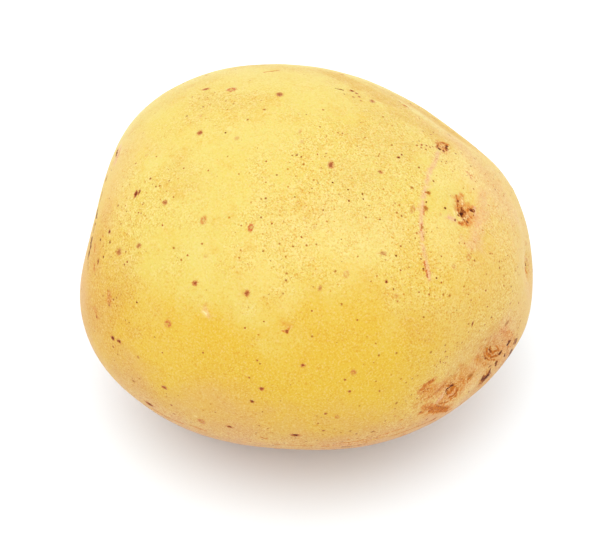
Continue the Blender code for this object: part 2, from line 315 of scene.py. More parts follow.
    ("pit", 0.95, 0.4, 0.1, [(59.9, -39.4), (60.9, -41.2), (61.6, -41.6)]),
    ("pit", 0.66, 0.5, 0.06, [(60.3, -38.4), (60.8, -43.4)]),
    ("pit", 0.8, 0.26, 0.06, [(61.9, -41.6), (62.9, -40), (63.8, -38)]),
    ("pit", 0.6, 0.22, 0, [(62, -43.4), (63, -42.6)]),
    ("pink", 0.6, 0.3, 0.05, [(59.6, -43.6), (61.8, -44.4)]),
    ("rust", 0.7, 0.55, 0, [(59.6, -39), (61.4, -37.8), (63, -37.4)]),
    # thin scratches and creases
    ("rust", 0.75, 0.16, -0.04, [(-18.2, 113.8), (-16.4, 115.4), (-15, 116.5)]),
    ("pit", 0.7, 0.14, -0.05, [(0.2, 110.4), (2.2, 110.8)]),
    ("pit", 0.75, 0.14, -0.05, [(17.6, -27.6), (20, -28.2), (22.4, -28.2)]),
    ("rust", 0.66, 0.24, 0, [(-31, -21), (-27, -21.6), (-22, -21)]),
    ("rust", 0.62, 0.22, 0, [(-20, -19.4), (-16, -19.8)]),
    ("rust", 0.6, 0.2, -0.05, [(2, -20.4), (9, -20.8), (15, -20.6)]),
    ("rust", 0.66, 0.18, -0.05, [(17, -19.6), (23, -20.6), (30, -21.4), (36, -24)]),
    ("rust", 0.64, 0.2, -0.05, [(30, -27), (37, -30), (42, -36)]),
    ("pit", 0.56, 0.2, -0.03, [(25.6, -15), (26.6, -15.2)]),
    ("pit", 0.52, 0.2, -0.03, [(12.4, -15.4)]),
    ("rust", 0.72, 0.26, 0, [(-1, -15), (0, -15.4)]),
    ("rust", 0.68, 0.26, 0, [(33.6, -14)]),
    ("rust", 0.68, 0.26, 0, [(20, -17.6)]),
    ("pink", 0.65, 0.25, 0.1, [(12, -20.6), (19, -21.6), (26, -21), (31, -22.4)]),
    ("pink", 0.65, 0.25, 0.1, [(14, -24), (21, -24.8), (29, -25.4)]),
    ("rust", 0.62, 0.2, -0.08, [(13, -22.4), (20, -23.2), (28, -23.4)]),
    ("rust", 0.6, 0.18, -0.06, [(9, -26.4), (16, -26.8), (24, -27.4)]),
    ("rust", 0.72, 0.13, -0.03, [(3, 29.9), (4.3, 29.5)]),
    ("rust", 0.68, 0.12, -0.03, [(4.3, 29.5), (4.5, 30.8)]),
    ("pit", 0.66, 0.15, -0.05, [(4.2, 29.5)]),
    ("rust", 0.26, 0.8, 0, [(3.2, 32.6), (4.6, 31)]),
    ("cream", 0.82, 0.28, 0.02, [(-16.2, 31.4), (-15.4, 30.8)]),
    ("pink", 0.5, 0.3, 0, [(-15.8, 32.4), (-14.6, 30.2)]),
    ("rust", 0.26, 0.5, 0, [(-15.6, 33.6)]),
    ("cream", 0.7, 0.3, 0.03, [(-17.4, -10)]),
    # the stem side's rim: scuffs and dark nicks
    ("pink", 0.9, 0.8, -0.08, [(-53.9, 85.8), (-53.4, 81.8), (-53.4, 78.2)]),
    ("rust", 0.62, 0.35, -0.05, [(-53, 84), (-52.6, 80.6)]),
    ("pit", 0.62, 0.16, -0.04, [(-57.6, 66), (-58.4, 60)]),
    ("pit", 0.66, 0.17, -0.04, [(-58.6, 51), (-58.4, 46)]),
    ("pit", 0.6, 0.16, -0.04, [(-57.6, 31), (-56.6, 28)]),
    ("rust", 0.7, 0.24, 0, [(-54.4, 41), (-54, 38.4)]),
    ("rust", 0.68, 0.26, 0, [(-52.6, 33), (-52.2, 30.6)]),
    ("rust", 0.66, 0.24, 0, [(-50.6, 46)]),
    ("rust", 0.62, 0.5, 0, [(-44.4, 26), (-43.6, 22)]),
    ("rust", 0.6, 0.4, 0, [(-49.6, 15), (-48, 12.6)]),
    ("pit", 0.7, 0.25, -0.08, [(-55.4, 87), (-54.6, 83)]),
    ("pit", 0.7, 0.24, -0.06, [(-56.9, 73.8), (-57, 71.6)]),
    ("pit", 0.85, 0.26, -0.08, [(-59.2, 58), (-58.8, 53.6)]),
    ("pit", 0.9, 0.28, -0.08, [(-58.4, 43), (-58.3, 37.6), (-58.6, 33)]),
    ("tan", 0.55, 2.4, 0, [(-52, 50), (-54, 40), (-52, 32)]),
    ("rust", 0.6, 0.3, 0, [(16, 135), (18, 138)]),
    ("pit", 0.5, 0.24, 0, [(22.6, 143.6), (24, 145.4)]),
]

# Flat smudges: strength, half width in mm, and the places it runs through. Netting and tiny
# freckles crowd in the freckle ones.
smudges = {
    "tan": [
        (0.34, 2.4, [(-29, 96), (-22, 94), (-16, 94.5)]), (0.3, 1.8, [(-30, 71), (-24, 66)]),
        (0.3, 1.4, [(-31, 65), (-26, 64)]), (0.5, 3, [(-45, 32), (-44, 20), (-45, 11)]),
        (1.4, 2.2, [(-2, 121), (6, 119), (14, 118)]), (0.5, 2.2, [(6, 108), (14, 104)]),
        (0.85, 2, [(16, 110), (23, 112), (29, 111)]), (0.3, 3, [(-50, 12), (-44, 2)]),
        (0.4, 3, [(12, 92), (22, 96)]), (0.22, 3.2, [(2, 66), (14, 67), (22, 66)]),
        (0.2, 2.4, [(-4, 62), (-1, 54)]), (0.38, 2.4, [(33, 36), (38, 32)]),
        (0.5, 2.4, [(-25, 124), (-12, 122), (0, 121)]), (0.4, 3, [(-40, -2), (-30, -8)]),
        (0.3, 2.6, [(8, 77), (14, 76)]), (0.95, 4, [(-42, 26), (-49, 12)]),
        (0.45, 3.2, [(14, -14), (24, -14)]), (0.4, 2.6, [(32, 121), (42, 115), (52, 106)]),
        (1, 2.6, [(10, 127), (18, 135), (24, 142), (31, 139)]),
        (0.35, 2, [(-50, 92), (-40, 104), (-32, 112)]),
    ],
    "pink": [
        (0.35, 3.6, [(-48, 80), (-50, 70), (-50, 60)]), (0.5, 3.2, [(33, 118), (42, 112), (52, 108)]),
    ],
    "cream": [
        (0.3, 3.4, [(-6, 47), (-2, 43)]), (0.6, 4.5, [(38, 102), (50, 104)]),
        (0.1, 4, [(-30, 20), (-26, 16)]), (0.45, 2.8, [(36, 70), (38, 66)]),
        (0.36, 4.5, [(2, 58), (12, 58), (24, 62)]),
    ],
    "freckle": [
        (1, 5, [(60, 25), (66, 5), (68, -25), (64, -45)]),
        (0.9, 4.6, [(4, 70), (20, 72), (30, 62), (38, 48)]), (0.8, 3.6, [(2, 84), (14, 88), (24, 86)]),
        (0.8, 3, [(18, 100), (28, 104), (38, 104)]), (0.8, 4, [(-36, 62), (-44, 45), (-46, 20)]),
        (0.9, 2.6, [(-28, 96), (-18, 95)]), (0.8, 3, [(-6, 64), (-2, 54), (4, 50)]),
        (0.8, 3, [(44, 12), (52, -2)]), (0.9, 4, [(40, -4), (48, -14), (56, -26)]),
        (0.9, 3.4, [(72, 30), (76, 0), (74, -30)]), (0.6, 3.4, [(48, 60), (54, 50)]),
        (0.8, 3.2, [(30, 122), (40, 117), (50, 110), (58, 100)]),
        (0.85, 3.4, [(-34, -15), (-12, -19), (10, -20), (32, -21)]),
        (1, 3.8, [(58, 84), (64, 62), (66, 36)]),
    ],
}

# Each field that strokes fill has its own channel in one of the skin's two colour attributes.
strokeFields = {"skinInk": ("pit", "rust", "tan"), "skinPale": ("pink", "cream", "freckle")}

# Eyes on the back and underneath: place, and size in mm.
plainEyes = {
    "tip": (78, 150, 3.0), "budBack": (52, 168, 3.8), "lowBack": (40, 232, 3.6),
    "middleBack": (14, 186, 4.0), "under": (22, 288, 3.4), "stemBack": (-24, 214, 3.6),
    "stemTop": (-46, 146, 3.2),
}
# The stem's scar is a torn ring; its reach and its unevenness are in degrees.
stemScar = {"place": (-84, 176), "torn": 9, "turnStep": 0.28, "reach": 3.6, "uneven": 0.5}

# A seeded draw strews marks and patches past these degrees from the side with the listed marks.
strewn = {
    "seed": 41,
    "handSide": (8, 46),
    "past": 76,
    "patchesPast": 82,
    "pores": 70,
    "poresApart": 5.2,  # mm
    "dots": 170,
    "dotsApart": 2.2,
    "patches": 16,
    "patchRun": 12,  # degrees that a patch may run each way
    "radius": 40,  # mm, the body's mean one
    "tries": 6000,
}


def degreesPerMm(toBud, turn):
    # how far one millimetre on the skin goes in each angle there
    here, ahead, beside = bodyPoints([(toBud, turn), (toBud + 1, turn), (toBud, turn + 1)])
    return mm / np.linalg.norm(ahead - here), mm / np.linalg.norm(beside - here)


def plainEye(toBud, turn, size):
    # a shallow eye: an arched brow on the stem side, a slit before it, bud tips and a rusty wash
    alongMm, roundMm = degreesPerMm(toBud, turn)

    def arc(reach, spread, lean):
        steps = [i / 3 for i in range(-3, 4)]
        return [(toBud - (reach - lean * s * s) * alongMm, turn + spread * s * roundMm)
                for s in steps]

    return [
        ("rust", 0.34, size * 0.55, 0, [(toBud, turn)]),
        ("pink", 0.55, size * 0.11, 0.22, arc(size * 0.62, size * 0.85, size * 0.42)),
        ("pit", 0.75, size * 0.06, -0.30, arc(size * 0.30, size * 0.42, size * 0.10)),
        ("rust", 0.60, size * 0.09, -0.12, arc(-size * 0.02, size * 0.62, size * 0.25)),
        ("cream", 0.50, size * 0.10, 0.14, arc(size * 0.14, size * 0.22, size * 0.05)),
        ("rust", 0.45, size * 0.08, -0.08, arc(-size * 0.40, size * 0.55, size * 0.30)),
        ("freckle", 0.60, size * 1.1, 0, [(toBud, turn)]),
    ]


def scarStrokes():
    # a torn ring round a corky hollow
    middle = [stemScar["place"]]
    centre = skinDirection(*stemScar["place"])
    side = centre.orthogonal().normalized()
    other = centre.cross(side)
    draw = random.Random(strewn["seed"])
    made = [
        ("rust", 0.5, 2.6, 0, middle),
        ("pit", 0.8, 0.7, -0.5, middle),
        ("tan", 0.7, 4.2, 0, middle),
        ("freckle", 0.8, 6.0, 0, middle),
    ]
    for i in range(stemScar["torn"]):
        first = 2 * math.pi * i / stemScar["torn"]
        run = []
        for step in range(3):
            angle = first + step * stemScar["turnStep"]
            uneven = draw.uniform(-stemScar["uneven"], stemScar["uneven"])
            reach = math.radians(stemScar["reach"] + uneven)
            out = side * math.cos(angle) + other * math.sin(angle)
            way = centre * math.cos(reach) + out * math.sin(reach)
            run.append((math.degrees(math.asin(way.x)), math.degrees(math.atan2(way.z, -way.y))))
        made.append(("rust", draw.uniform(0.5, 0.9), 0.26, draw.uniform(0.10, 0.25), run))
    return made


def drawnPlace(draw):
    toBud = math.degrees(math.asin(draw.uniform(-1, 1)))
    return toBud, draw.uniform(-180, 180)


def nearHandSide(place, past):
    shown = skinDirection(*strewn["handSide"])
    return math.degrees(skinDirection(*place).angle(shown)) < past


def drawnPore(draw, place):
    kind = draw.choice(("soft", "soft", "ring", "dark", "pale"))
    size = draw.uniform(0.8, 1.6)
    return kind, *place, size, size * draw.uniform(0.7, 1.3), draw.uniform(0.6, 1.1)


def drawnDot(draw, place):
    kind = draw.choice(("black", "brown", "brown", "orange"))
    size = draw.uniform(0.25, 0.55)
    return kind, *place, size, size * draw.uniform(0.8, 1.4), 1.0


def strewnMarks():
    # pores and then dots on the sides without listed marks, evenly but at random
    draw = random.Random(strewn["seed"])
    taken = [skinDirection(*mark[:2]) for group in pores.values() for mark in group]
    found = []
    for drawnMark, name in ((drawnPore, "pores"), (drawnDot, "dots")):
        made = tries = 0
        while made < strewn[name] and tries < strewn["tries"]:
            tries += 1
            place = drawnPlace(draw)
            if nearHandSide(place, strewn["past"]):
                continue
            way = skinDirection(*place)
            if any(way.angle(other) * strewn["radius"] < strewn[name + "Apart"] for other in taken):
                continue
            taken.append(way)
            found.append(drawnMark(draw, place))
            made += 1
    return found


def strewnPatches():
    # rough, tan patches on the same sides
    draw = random.Random(strewn["seed"] + 1)
    reach = strewn["patchRun"]
    made = []
    while len(made) < strewn["patches"] * 2:
        place = drawnPlace(draw)
        if nearHandSide(place, strewn["patchesPast"]):
            continue
        run = [place, tuple(angle + draw.uniform(-reach, reach) for angle in place)]
        made.append(("freckle", draw.uniform(0.5, 1.0), draw.uniform(2.5, 5.0), 0, run))
        made.append(("tan", draw.uniform(0.2, 0.6), draw.uniform(1.5, 3.2), 0, run))
    return made


def allMarks():
    # kind, place, width and height in mm, and strength
    made = [(kind, *pore) for kind, group in pores.items() for pore in group]
    for kind, group in dots.items():
        for toBud, turn, size in group:
            width = size * dotLook["scale"]
            made.append((kind, toBud, turn, width, width, dotLook["strength"]))
    return made + strewnMarks()


def allStrokes():
    made = handStrokes[:]
    for channel, group in smudges.items():
        made += [(channel, amount, width, 0, places) for amount, width, places in group]
    for eye in plainEyes.values():
        made += plainEye(*eye)
    return made + scarStrokes() + strewnPatches()


marks = allMarks()
strokes = allStrokes()
print("marks", len(marks), "strokes", len(strokes))

# Edges near marks and strokes are halved twice, the second time closer to them and only for thin
# strokes. Lengths and the widest half width are in mm.
halvings = (
    {"pastMark": 0.8, "pastStroke": 0.9, "widest": 1.2},
    {"pastMark": 0.15, "pastStroke": 0.25, "widest": 0.6},
)
reliefLook = {
    "markSpan": 1.5,  # how many of its radii a mark's fine edges span
    "strokeSpan": 1.6,  # and how many of its half widths a stroke's do
    "step": 0.5,  # mm between the points along a stroke
    "radius": 42,  # mm, half the length of the body
    "fades": 3.2,  # half widths from its run at which a stroke has faded out
    "ragged": 0.8,  # how uneven the edges of strokes are
    "raggedSize": (0.9, 0.4),  # of that unevenness: half widths, and mm more
    "rugged": 1.1,  # how uneven the relief of strokes is
    "ruggedSize": 0.45,  # mm
    "margin": 0.5,  # mm searched past a stroke, and past a mark's reach below
    "markMargin": 0.6,
    "lipAt": 0.85,  # of a mark's radius, where its lip is highest
    "lipWidth": 0.35,
    "hollow": 0.5,
    "markReach": 2.6,  # radii from a mark that the skin still knows of it
}


def pointTree(points):
    tree = KDTree(len(points))
    for i, point in enumerate(points):
        tree.insert(point, i)
    tree.balance()
    return tree


def castOnSolid(points, normals):
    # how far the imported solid's surface lies outside each point of the rounded body
    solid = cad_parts["potato"].data
    corners = [vertex.co[:] for vertex in solid.vertices]
    tree = BVHTree.FromPolygons(corners, [polygon.vertices[:] for polygon in solid.polygons])
    start = potato["castFrom"] * mm
    out = np.zeros(len(points))
    for i, (point, normal) in enumerate(zip(points, normals)):
        hit = tree.ray_cast(Vector(point + normal * start), Vector(-normal))
        out[i] = start - hit[3] if hit[0] is not None else 0.0
    return out


def smoothed(values, bm, rounds):
    # each vertex's value drawn halfway towards the mean of its neighbours, again and again
    edges = np.array([(edge.verts[0].index, edge.verts[1].index) for edge in bm.edges])
    count = len(bm.verts)
    links = np.bincount(edges.ravel(), minlength=count)
    for _ in range(rounds):
        total = np.bincount(edges[:, 0], values[edges[:, 1]], count)
        total += np.bincount(edges[:, 1], values[edges[:, 0]], count)
        values = 0.5 * values + 0.5 * total / links
    return values


def strokeSamples(places):
    # directions along a stroke's run, at most one step apart
    ways = [skinDirection(*place) for place in places]
    step = reliefLook["step"] * mm
    run = [ways[0]]
    for first, second in zip(ways, ways[1:]):
        length = first.angle(second) * reliefLook["radius"] * mm
        pieces = max(1, math.ceil(length / step))
        run += [first.lerp(second, (i + 1) / pieces).normalized() for i in range(pieces)]
    return np.array(run)


def fineReaches(halving):
    # (centres, reach) of every mark and stroke that needs finer edges
    reaches = []
    for kind, toBud, turn, width, height, _ in marks:
        if markKinds[kind]["lip"] > 0:
            span = max(width, height) * mm / 2 * reliefLook["markSpan"]
            reaches.append((bodyPoints([(toBud, turn)]), span + halving["pastMark"] * mm))
    for channel, _, width, _, places in strokes:
        if width <= halving["widest"] and channel != "freckle":
            centres = roundedBody(strokeSamples(places))[0]
            span = reliefLook["strokeSpan"] * width * mm
            reaches.append((centres, span + halving["pastStroke"] * mm))
    return reaches


def halveEdges(bm, reaches):
    # halves every edge that lies within reach of a mark or a stroke
    ends = [edge.verts for edge in bm.edges]
    ways = np.array([((first.co + second.co) * 0.5).normalized()[:] for first, second in ends])
    tree = pointTree(roundedBody(ways)[0])
    chosen = set()
    for centres, reach in reaches:
        for centre in centres:
            chosen.update(i for _, i, _ in tree.find_range(centre, reach))
    bm.edges.ensure_lookup_table()
    edges = [bm.edges[i] for i in sorted(chosen)]
    bmesh.ops.subdivide_edges(bm, edges=edges, cuts=1, use_grid_fill=True)
    bmesh.ops.triangulate(bm, faces=[face for face in bm.faces if len(face.verts) > 3])
    for vertex in bm.verts:
        vertex.co.normalize()
    bm.verts.index_update()
    bm.edges.index_update()


def noiseOn(points, size, shift=Vector()):
    return np.array([noise.noise(Vector(point) / size + shift) for point in points])


def swell(points):
    # gentle unevenness at several sizes
    total = np.zeros(len(points))
    x, y, z = potato["swellSeed"]
    for size, height in potato["swells"]:
        total += height * mm * noiseOn(points, size * mm, Vector((x * size, y, z)))
    return total


def skinAxes(toBud, turn):
    # the directions towards the bud and round the potato at a place
    here, ahead, beside = bodyPoints([(toBud, turn), (toBud + 0.5, turn), (toBud, turn + 0.5)])
    along = (ahead - here) / np.linalg.norm(ahead - here)
    around = beside - here
    around -= along * np.dot(around, along)
    return along, around / np.linalg.norm(around)


def surfaceRun(bodyTree, offsets, ways):
    # points on the skin itself: the rounded body's, moved out by the offset found there
    points, normals = roundedBody(ways)
    return np.array([point + normal * offsets[bodyTree.find(point)[1]]
                     for point, normal in zip(points, normals)])


def distanceToRun(points, run):
    # the distance from each point to a run of straight pieces
    if len(run) == 1:
        return np.linalg.norm(points - run[0], axis=1)
    best = np.full(len(points), np.inf)
    for first, second in zip(run, run[1:]):
        along = second - first
        share = np.clip((points - first) @ along / max(along @ along, 1e-18), 0, 1)
        best = np.minimum(best, np.linalg.norm(points - first - share[:, None] * along, axis=1))
    return best


def drawStrokes(points, tree, bodyTree, offsets):
    # every stroke's field and relief
    fields = {name: np.zeros(len(points)) for names in strokeFields.values() for name in names}
    relief = np.zeros(len(points))
    for channel, amount, width, height, places in strokes:
        run = surfaceRun(bodyTree, offsets, strokeSamples(places))
        reach = reliefLook["fades"] * width * mm + reliefLook["margin"] * mm
        near = sorted({i for centre in run for _, i, _ in tree.find_range(centre, reach)})
        if not near:
            continue
        local = points[near]
        wide, more = reliefLook["raggedSize"]
        uneven = reliefLook["ragged"] * noiseOn(local, wide * width * mm + more * mm)
        distance = distanceToRun(local, run) / (width * mm) * (1 + uneven)
        profile = np.exp(-0.5 * distance ** 2)
        fields[channel][near] = np.maximum(fields[channel][near], amount * profile)
        if height:
            rugged = reliefLook["rugged"] * noiseOn(local, reliefLook["ruggedSize"] * mm)
            relief[near] += height * mm * profile * (1 + rugged)
    return fields, relief


def raiseMarks(points, tree, bodyTree, offsets, relief):
    # adds each mark's lip and hollow to the relief, and gives each one's centre, axes and size
    frames = []
    for kind, toBud, turn, width, height, strength in marks:
        centre = surfaceRun(bodyTree, offsets, directions([(toBud, turn)]))[0]
        along, around = skinAxes(toBud, turn)
        axes = np.array([along / (width * mm / 2), around / (height * mm / 2)])
        frames.append((centre, axes, max(width, height) * mm / 2))
        near = [i for _, i, _ in tree.find_range(centre, max(width, height) * mm)]
        if not near:
            continue
        radius = np.linalg.norm((points[near] - centre) @ axes.T, axis=1)
        lip = np.exp(-((radius - reliefLook["lipAt"]) / reliefLook["lipWidth"]) ** 2)
        hollow = np.exp(-(radius / reliefLook["hollow"]) ** 2)
        look = markKinds[kind]
        relief[near] += strength * mm * (look["lip"] * lip - look["sunk"] * hollow)
    return frames


def makeSkinMesh():
    bm = bmesh.new()
    bmesh.ops.create_icosphere(bm, subdivisions=potato["ballLevel"], radius=1.0)
    ways = np.array([vertex.co[:] for vertex in bm.verts])
    offsets = smoothed(castOnSolid(*roundedBody(ways)), bm, potato["facetsSmoothed"])
    layer = bm.verts.layers.float.new("bodyOffset")
    for vertex, offset in zip(bm.verts, offsets):
        vertex[layer] = offset
    for halving in halvings:
        halveEdges(bm, fineReaches(halving))
        print("edges halved", len(bm.faces), "faces")
    ways = np.array([vertex.co[:] for vertex in bm.verts])
    body, normals = roundedBody(ways)
    offsets = np.array([vertex[layer] for vertex in bm.verts])
    offsets = smoothed(offsets, bm, potato["seamsSmoothed"])
    points = body + normals * offsets[:, None]
    tree = pointTree(points)
    bodyTree = pointTree(body)
    fields, relief = drawStrokes(points, tree, bodyTree, offsets)
    frames = raiseMarks(points, tree, bodyTree, offsets, relief)
    relief += swell(points)
    points = points + normals * relief[:, None]
    points[:, 2] = np.maximum(points[:, 2], 0.0)  # nothing dips into the table
    for vertex, point in zip(bm.verts, points):
        vertex.co = point
    mesh = bpy.data.meshes.new("potatoSkin")
    bm.to_mesh(mesh)
    bm.free()
    mesh.attributes.remove(mesh.attributes["bodyOffset"])
    mesh.shade_smooth()
    writeFields(mesh, fields)
    writeMarks(mesh, points, frames)
    return mesh


def writeFields(mesh, fields):
    # the strokes' fields, as two colour attributes on the points
    for attribute, names in strokeFields.items():
        values = np.ones((len(mesh.vertices), 4), np.float32)
        for i, name in enumerate(names):
            values[:, i] = fields[name]
        layer = mesh.attributes.new(attribute, "FLOAT_COLOR", "POINT")
        layer.data.foreach_set("color", values.ravel())


def nearestMarks(centres, frames):
    # the number of the mark nearest to each face in that mark's own radii, or -1
    tree = pointTree(centres)
    nearest = np.full(len(centres), -1)
    closeness = np.full(len(centres), reliefLook["markReach"])
    for number, (centre, axes, size) in enumerate(frames):
        reach = size * reliefLook["markReach"] + reliefLook["markMargin"] * mm
        near = [i for _, i, _ in tree.find_range(centre, reach)]
        radius = np.linalg.norm((centres[near] - centre) @ axes.T, axis=1)
        for i, value in zip(near, radius):
            if value < closeness[i] or nearest[i] < 0:
                closeness[i] = value
                nearest[i] = number
    return nearest


def writeMarks(mesh, points, frames):
    # each face's corners hold where they are in the nearest mark's own radii, and how it looks
    corners = np.empty(len(mesh.loops), np.int32)
    mesh.loops.foreach_get("vertex_index", corners)
    corners = corners.reshape(-1, 3)
    nearest = nearestMarks(points[corners].mean(1), frames)
    place = np.full((len(corners), 3, 3), 9.0, np.float32)  # far outside any mark
    tone = np.zeros((len(corners), 3, 4), np.float32)
    for face in np.flatnonzero(nearest >= 0):
        centre, axes, _ = frames[nearest[face]]
        kind, *_, strength = marks[nearest[face]]
        look = markKinds[kind]
        place[face, :, :2] = (points[corners[face]] - centre) @ axes.T
        place[face, :, 2] = 0.0
        tone[face] = (*(look[part] * strength for part in ("disc", "core", "ring")), look["hue"])
    layer = mesh.attributes.new("markPlace", "FLOAT_VECTOR", "CORNER")
    layer.data.foreach_set("vector", place.ravel())
    layer = mesh.attributes.new("markTone", "FLOAT_COLOR", "CORNER")
    layer.data.foreach_set("color", tone.ravel())


def setSockets(tree, node, sockets):
    # plugs in what comes from another node and sets the rest
    for name, value in sockets.items():
        if isinstance(value, bpy.types.NodeSocket):
            tree.links.new(value, node.inputs[name])
        else:
            node.inputs[name].default_value = value


def addNode(tree, kind, sockets, **settings):
    node = tree.nodes.new("ShaderNode" + kind)
    for name, value in settings.items():
        setattr(node, name, value)
    setSockets(tree, node, sockets)
    return node


def maths(tree, operation, first, second, clamp=False):
    sockets = {0: first, 1: second}
    return addNode(tree, "Math", sockets, operation=operation, use_clamp=clamp).outputs[0]


def times(tree, value, factor, clamp=True):
    return maths(tree, "MULTIPLY", value, factor, clamp)


def between(tree, value, low, high, start=0.0, end=1.0):
    # a soft step from start to end as the value goes from low to high
    sockets = {"Value": value, "From Min": low, "From Max": high, "To Min": start, "To Max": end}
    return addNode(tree, "MapRange", sockets, interpolation_type="SMOOTHSTEP").outputs["Result"]


def mixed(tree, amount, first, second, blend="MIX"):
    sockets = {0: amount, 6: first, 7: second}
    return addNode(tree, "Mix", sockets, data_type="RGBA", blend_type=blend).outputs[2]


def perMetre(tree, size):
    # how many of a size in mm, a number or another node's value, go into a metre
    if isinstance(size, bpy.types.NodeSocket):
        return maths(tree, "DIVIDE", 1 / mm, size)
    return 1 / (size * mm)


def noiseAt(tree, place, size, detail=2.0, rough=0.5, twist=0.0):
    sockets = {"Vector": place, "Scale": perMetre(tree, size), "Detail": detail, "Roughness": rough,
               "Distortion": twist}
    return addNode(tree, "TexNoise", sockets).outputs["Fac"]


def swingAt(tree, place, *look):
    # a noise that swings about zero
    return maths(tree, "SUBTRACT", noiseAt(tree, place, *look), 0.5)


def nudged(tree, value, swing, amount):
    # a value with a share of another one added
    return maths(tree, "ADD", value, maths(tree, "MULTIPLY", swing, amount))


def newGroup(name, inputs, outputs):
    # a node group with vector inputs, number inputs by name and default, and number outputs
    group = bpy.data.node_groups.new(name, "ShaderNodeTree")
    for label, value in inputs.items():
        kind = "NodeSocketVector" if value is None else "NodeSocketFloat"
        socket = group.interface.new_socket(label, in_out="INPUT", socket_type=kind)
        if value is not None:
            socket.default_value = value
    for label in outputs:
        group.interface.new_socket(label, in_out="OUTPUT", socket_type="NodeSocketFloat")
    return group, group.nodes.new("NodeGroupInput").outputs, group.nodes.new("NodeGroupOutput")


nettingLook = {
    "patchNoise": (4.0, 0.65),  # detail and roughness
    "grainNoise": (2.0, 0.7, 0.5),  # detail, roughness and twist
    "patchStep": (0.24, 0.70),
    "lineStep": (0.02, 0.20, 1.0, 0.35),  # full on the net's lines, weaker in its middles
    "darkStep": (0.53, 0.63),
    "paleStep": (0.48, 0.34),
}


def makeNettingGroup():
    # fine flecks in a broken net, darker ones and paler ones, gathered in patches
    inputs = {"Place": None, "Mesh Size": 0.5, "Patch Size": 9.0, "Cover": 0.5}
    group, given, out = newGroup("skinNetting", inputs, ("Dark", "Pale"))
    patches = noiseAt(group, given["Place"], given["Patch Size"], *nettingLook["patchNoise"])
    covered = maths(group, "ADD", patches, maths(group, "SUBTRACT", given["Cover"], 0.5))
    patch = between(group, covered, *nettingLook["patchStep"])
    grains = noiseAt(group, given["Place"], given["Mesh Size"], *nettingLook["grainNoise"])
    sockets = {"Vector": given["Place"], "Scale": perMetre(group, given["Mesh Size"]), "Randomness": 1.0}
    cells = addNode(group, "TexVoronoi", sockets, feature="DISTANCE_TO_EDGE").outputs["Distance"]
    lines = between(group, cells, *nettingLook["lineStep"])
    dark = maths(group, "MULTIPLY", lines, between(group, grains, *nettingLook["darkStep"]))
    pale = between(group, grains, *nettingLook["paleStep"])
    setSockets(group, out, {
        "Dark": maths(group, "MULTIPLY", dark, patch),
        "Pale": maths(group, "MULTIPLY", pale, patch),
    })
    return group


freckleLook = {
    "wobbleNoise": (0.25, 1.0),  # size in mm, and detail
    "leastWobble": 0.55,
    "leastSize": 0.35,
    "edge": (0.35, 1.0),  # a dot fades between these shares of its size
}


def makeFreckleGroup():
    # scattered round dots with soft edges, each with its own size
    inputs = {"Place": None, "Spacing": 1.5, "Size": 0.2, "Share": 0.3}
    group, given, out = newGroup("skinFreckles", inputs, ("Dots", "Tone"))
    sockets = {"Vector": given["Place"], "Scale": perMetre(group, given["Spacing"]), "Randomness": 1.0}
    cells = addNode(group, "TexVoronoi", sockets).outputs
    parts = addNode(group, "SeparateColor", {"Color": cells["Color"]}).outputs
    wobble = noiseAt(group, given["Place"], *freckleLook["wobbleNoise"])
    reach = maths(group, "MULTIPLY", maths(group, "DIVIDE", given["Size"], given["Spacing"]),
                  maths(group, "ADD", freckleLook["leastSize"], parts["Green"]))
    reach = maths(group, "MULTIPLY", reach, maths(group, "ADD", freckleLook["leastWobble"], wobble))
    distance = maths(group, "DIVIDE", cells["Distance"], reach)
    inside = between(group, distance, *freckleLook["edge"], 1.0, 0.0)
    chosen = maths(group, "LESS_THAN", parts["Red"], given["Share"])
    setSockets(group, out, {"Dots": maths(group, "MULTIPLY", inside, chosen), "Tone": parts["Blue"]})
    return group


poreLook = {
    "coarseNoise": (0.55, 1.0),  # size in mm, detail and roughness
    "fineNoise": (0.16, 2.0, 0.6),
    "fineShare": 1.7,
    "disc": (0.55, 1.30),  # radii between which each part fades
    "core": (0.10, 0.85),
    "ringIn": (0.15, 0.65),
    "ringOut": (0.75, 1.30),
    "ringGaps": (0.36, 0.52, 0.35, 1.0),  # the coarse noise thins the ring
    "ringHeight": 0.4,
}


def makeMarkGroup():
    # discs, rings and cores from a place in a mark's own radii
    inputs = {"Place": None, "Mark": None, "Disc": 0.0, "Core": 0.0, "Ring": 0.0}
    group, given, out = newGroup("poreMarks", inputs, ("Stain", "Core", "Height"))
    radius = addNode(group, "VectorMath", {0: given["Mark"]}, operation="LENGTH").outputs["Value"]
    coarse = noiseAt(group, given["Place"], *poreLook["coarseNoise"])
    fine = swingAt(group, given["Place"], *poreLook["fineNoise"])
    wobble = nudged(group, maths(group, "SUBTRACT", coarse, 0.5), fine, poreLook["fineShare"])
    radius = maths(group, "ADD", radius, wobble)
    disc = between(group, radius, *poreLook["disc"], 1.0, 0.0)
    core = between(group, radius, *poreLook["core"], 1.0, 0.0)
    core = maths(group, "MULTIPLY", core, given["Core"])
    ring = maths(group, "MULTIPLY", between(group, radius, *poreLook["ringIn"]),
                 between(group, radius, *poreLook["ringOut"], 1.0, 0.0))
    ring = maths(group, "MULTIPLY", ring, between(group, coarse, *poreLook["ringGaps"]))
    setSockets(group, out, {
        "Stain": maths(group, "MAXIMUM", maths(group, "MULTIPLY", disc, given["Disc"]),
                       maths(group, "MULTIPLY", ring, given["Ring"])),
        "Core": core,
        "Height": maths(group, "SUBTRACT", maths(group, "MULTIPLY", ring, poreLook["ringHeight"]), core),
    })
    return group


